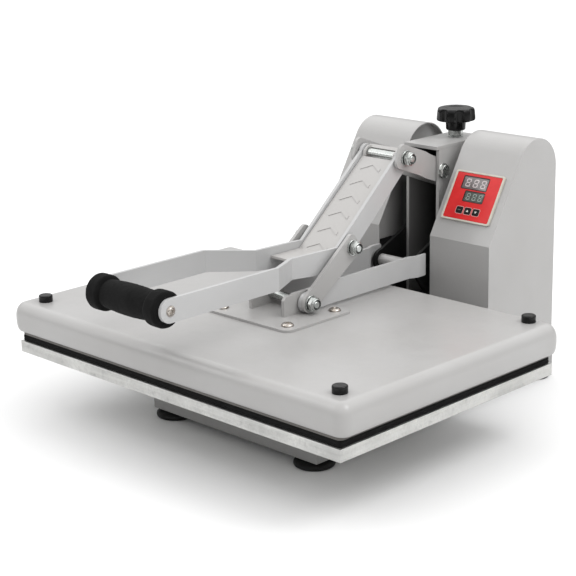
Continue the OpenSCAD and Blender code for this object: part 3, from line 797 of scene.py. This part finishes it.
def make_grip():
    """Foam sleeve: closer rings at its rounded ends, and end faces that rise a little to a ring."""
    c = middle("handle_tube")
    inner, steps = GRIP_HALF - 1.6, 118
    even = [inner * (2 * i / steps - 1) for i in range(steps + 1)]
    close = [GRIP_HALF - d for d in (0.05, 0.2, 0.5, 1.0)]
    xs = [-x for x in close] + even + close[::-1]
    face = [(12.6, GRIP_HALF - 0.05), (14.5, GRIP_HALF)]
    profile = [(r, -x) for r, x in face] + [(grip_radius(x), x) for x in xs] + face[::-1]
    s = Shape()
    s.turned(profile, along((0, c.y, c.z), RIGHT), 144)
    grip = s.piece("grip_sleeve", "handle", MATERIALS["foam"], "foam", ("foam_grip",))
    lumps(grip, 0.0006, 0.006, "grip_lumps")


def rounded_rect(lo, hi, inset, r, step):
    """Points (x, y) round a rectangle with rounded corners, and about every step along its straights."""
    x0, y0, x1, y1 = lo[0] + inset + r, lo[1] + inset + r, hi[0] - inset - r, hi[1] - inset - r
    corners = ((x1, y0, -90), (x1, y1, 0), (x0, y1, 90), (x0, y0, 180))
    points = []
    for k, (cx, cy, start) in enumerate(corners):
        for i in range(7):
            t = math.radians(start + 15 * i)
            points.append(Vector((cx + r * math.cos(t), cy + r * math.sin(t))))
        nx, ny, turn = corners[(k + 1) % 4]
        t = math.radians(turn)
        end = Vector((nx + r * math.cos(t), ny + r * math.sin(t)))
        length = hi[1] - lo[1] if k % 2 == 0 else hi[0] - lo[0]
        n = max(2, round(length / step))
        last = points[-1]
        points += [last.lerp(end, i / n) for i in range(1, n)]
    return points


def make_pad():
    """Soft pad whose side is uneven and slightly hollow; its faces stay flat."""
    lo, hi = (ROW.inverted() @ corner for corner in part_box("silicone_pad"))
    section = [(inset, lo.z + h) for inset, h in PAD_EDGE]
    section += [(PAD_WAIST, (lo.z + hi.z) / 2)]
    section += [(inset, hi.z - h) for inset, h in reversed(PAD_EDGE)]
    rings = []
    for inset, z in section:
        outline = rounded_rect(lo, hi, inset, max(1.5, 4 - inset), 2.5)
        rings.append([(x, y, z) for x, y in outline])
    s = Shape()
    s.rings(rings)
    pad = s.piece("platen_pad", "frame", MATERIALS["silicone"], "silicone", ("silicone_pad",))
    side = pad.vertex_groups.new(name="rim")
    heights = [v.co.z for v in pad.data.vertices]
    low, high = min(heights) + 0.0002, max(heights) - 0.0002
    side.add([i for i, z in enumerate(heights) if low < z < high], 1.0, "REPLACE")
    lumps(pad, 0.0009, 0.0035, "pad_lumps").vertex_group = "rim"


make_grip()
make_pad()


# ---------- pressure knob, collar and screw ----------

LOBES = 7
KNOB_R, NOTCH_R, NOTCH_AT = 28.5, 8.0, 31.7
NOTCH_BLEND = 1.4
# height, radius, and how much of the notches is cut there
KNOB_ROWS = [
    (349.3, 11.6, 0), (349.3, 12.9, 0), (349.8, 13.7, 0), (351.0, 14.2, 0), (356, 14.4, 0),
    (360.4, 14.7, 0), (361.6, 15.6, 0), (362.1, 18.0, 0), (362.3, 21.5, 0.9), (362.6, 25.0, 1),
    (363.6, 27.4, 1), (365.5, 28.35, 1), (370.0, 28.1, 1), (375.5, 27.6, 1), (378.2, 27.2, 1),
    (380.0, 26.2, 0.97), (381.1, 24.6, 0.95), (381.7, 22.4, 0.9), (381.9, 20.2, 0.6), (381.8, 17.6, 0),
    (381.2, 15.4, 0), (380.2, 13.6, 0), (379.7, 12.2, 0), (379.6, 8.0, 0), (379.6, 1.0, 0)]
COLLAR_LOW, COLLAR_FLATS, COLLAR_TALL = 339.3, 19, 10.0
THREAD_PITCH, THREAD_LOW, THREAD_HIGH = 1.75, 252, 366


def knob_point(t, row):
    """Radius and height at angle t: the row's radius, less the rounded notches between the lobes."""
    z, r, notch = row
    if not notch:
        return r, z
    step = 2 * math.pi / LOBES
    off = step / 2 - abs((t + step / 2) % step - step / 2)
    inside = (NOTCH_R * notch) ** 2 - (NOTCH_AT * math.sin(off)) ** 2
    cut = NOTCH_AT * math.cos(off) - math.sqrt(inside) if inside > 0 else 99
    full = KNOB_R if r > 27 else r
    blend = math.exp(-full / NOTCH_BLEND) + math.exp(-cut / NOTCH_BLEND)
    return min(r, -math.log(blend) * NOTCH_BLEND), z


def make_screw():
    """Star knob, hexagon collar under it, and the thread down to the trunnion."""
    y = middle("pressure_screw").y
    s = Shape()
    s.outline(knob_point, KNOB_ROWS, along((0, y, 0), UP, 0.2), 168)
    s.piece("star_knob", "pressure_screw", MATERIALS["black_plastic"], "black_plastic", ("pressure_knob",))
    s = Shape()
    at = along((0, y, COLLAR_LOW), UP, 0.35)
    washer(s, at, 1.8)
    s.hexagon(COLLAR_FLATS, 1.8, COLLAR_TALL, at)
    steel_piece(s, "screw_collar_nut", "pressure_screw", ("screw_collar",))
    s = Shape()
    profile = [(0, THREAD_LOW), (4.6, THREAD_LOW)]
    for i in range(64):
        z = THREAD_LOW + 1.2 + i * THREAD_PITCH
        profile += [(5.9, z), (5.9, z + 0.25), (5.0, z + 0.75), (5.0, z + 0.95)]
    profile += [(5.4, THREAD_HIGH), (0, THREAD_HIGH)]
    s.turned(profile, along((0, y, 0), UP), 40)
    steel_piece(s, "pressure_thread", "pressure_screw", ("pressure_screw",))


make_screw()


# ---------- control panel ----------
# x runs right and s up the slope, and heights stand off it

SLOPE = Matrix.Translation((0, 256.7, 220.9)) @ Matrix.Rotation(math.radians(58.914), 4, "X")
WINDOW_TOP, BUTTON_TOP = 2.1, 3.1  # of the CAD's own windows and buttons
# areas are x from and to, then s from and to
UPPER_WINDOW = (73.2, 115.8, 75.7, 93.3)
LOWER_WINDOW = (83.2, 116.3, 57.7, 71.8)
UPPER_FIGURES = (75.2, 114.6, 76.7, 92.3)
LOWER_FIGURES = (84.6, 115.2, 58.5, 71.0)
WINDOW_FRAME = (1.95, 2.6)
BUTTON_FRAME_LOW = 2.3
BUTTON_X, BUTTON_S = (83.6, 97.8, 112), 43.7
FIGURE_LEAN = 0.08


def add_segment(s, corner, cx, cy, length, thick, upright):
    """One bar of a figure, with pointed ends, leaning with the figure whose lower left corner is given."""
    half, w = length * 0.38, thick / 2
    points = [(-half, 0), (-half + w, w), (half - w, w), (half, 0), (half - w, -w), (-half + w, -w)]
    if upright:
        points = [(-y, x) for x, y in points]
    ox, oy = corner
    leaning = [(ox + cx + x + (cy + y) * FIGURE_LEAN, oy + cy + y) for x, y in points]
    s.prism(leaning, WINDOW_TOP - 0.05, WINDOW_TOP + 0.12, SLOPE)


def make_figures(name, area, material, slot):
    """Three seven-segment eights with their points, a tenth of a millimetre proud."""
    x0, x1, s0, s1 = area
    cell = (x1 - x0) / 3
    tall, wide = (s1 - s0) * 0.78, cell * 0.62
    thick = wide * 0.20
    s = Shape()
    for i in range(3):
        ox, oy = x0 + cell * (i + 0.5) - wide / 2, (s0 + s1) / 2 - tall / 2
        for cy in (thick / 2, tall / 2, tall - thick / 2):
            add_segment(s, (ox, oy), wide / 2, cy, wide, thick, False)
        for cx in (thick / 2, wide - thick / 2):
            for cy in (tall * 0.25, tall * 0.75):
                add_segment(s, (ox, oy), cx, cy, tall / 2, thick, True)
        dot = [(ox + wide + 0.7 + x, oy + 0.7 + y) for x, y in circle(0.5, 8)]
        s.prism(dot, WINDOW_TOP - 0.05, WINDOW_TOP + 0.12, SLOPE)
    s.piece(name, "frame", material, slot)


def add_frame(s, area, wide, h0, h1, r):
    """Flat frame round an area, its inner corners rounded by r."""
    x0, x1, s0, s1 = area

    def loop(out, h):
        points = rounded_rect((x0 - out, s0 - out), (x1 + out, s1 + out), 0, r + out, 30)
        return [SLOPE @ Vector((x, y, h)) for x, y in points]
    s.rings([loop(0, h0), loop(wide, h0), loop(wide, h1), loop(0, h1), loop(0, h0)], False)


def make_button_frames(name, half_x, half_s, wide, top, r, material, slot):
    """The same frame round each button."""
    s = Shape()
    for x in BUTTON_X:
        area = (x - half_x, x + half_x, BUTTON_S - half_s, BUTTON_S + half_s)
        add_frame(s, area, wide, BUTTON_FRAME_LOW, top, r)
    s.piece(name, "frame", material, slot)


def make_icons():
    """A dim bar, a triangle pointing up the slope and a triangle pointing down it."""
    bar = [(-2.4, -0.6), (2.2, -0.6), (2.2, 0.6), (-2.4, 0.6)]
    up = [(-2.1, -1.3), (2.1, -1.3), (0, 1.9)]
    down = [(0, -1.9), (2.1, 1.3), (-2.1, 1.3)]
    for i, (points, material) in enumerate(((bar, ICON_DIM), (up, ICON), (down, ICON))):
        placed = [(BUTTON_X[i] + x, BUTTON_S + y) for x, y in points]
        s = Shape()
        s.prism(placed, BUTTON_TOP - 0.1, BUTTON_TOP + 0.1, SLOPE)
        s.piece("button_%d_icon" % (i + 1), "button_%d" % (i + 1), material, "button_plastic")


def make_panel():
    """What the CAD panel lacks: figures, window frames, button frames and icons."""
    make_figures("display_upper_digits", UPPER_FIGURES, DIGITS_UPPER, "display_upper")
    make_figures("display_lower_digits", LOWER_FIGURES, DIGITS_LOWER, "display_lower")
    s = Shape()
    add_frame(s, UPPER_WINDOW, 1.1, *WINDOW_FRAME, 1.0)
    add_frame(s, LOWER_WINDOW, 1.0, *WINDOW_FRAME, 1.0)
    s.piece("display_frames", "frame", FRAME_DARK, "display_upper")
    make_button_frames("button_outlines", 5.8, 5.0, 0.6, 2.6, 1.8, OUTLINE, "red_overlay")
    make_button_frames("button_grounds", 4.7, 3.7, 1.15, 2.55, 0.8, BUTTON_GROUND, "button_plastic")
    make_icons()


make_panel()
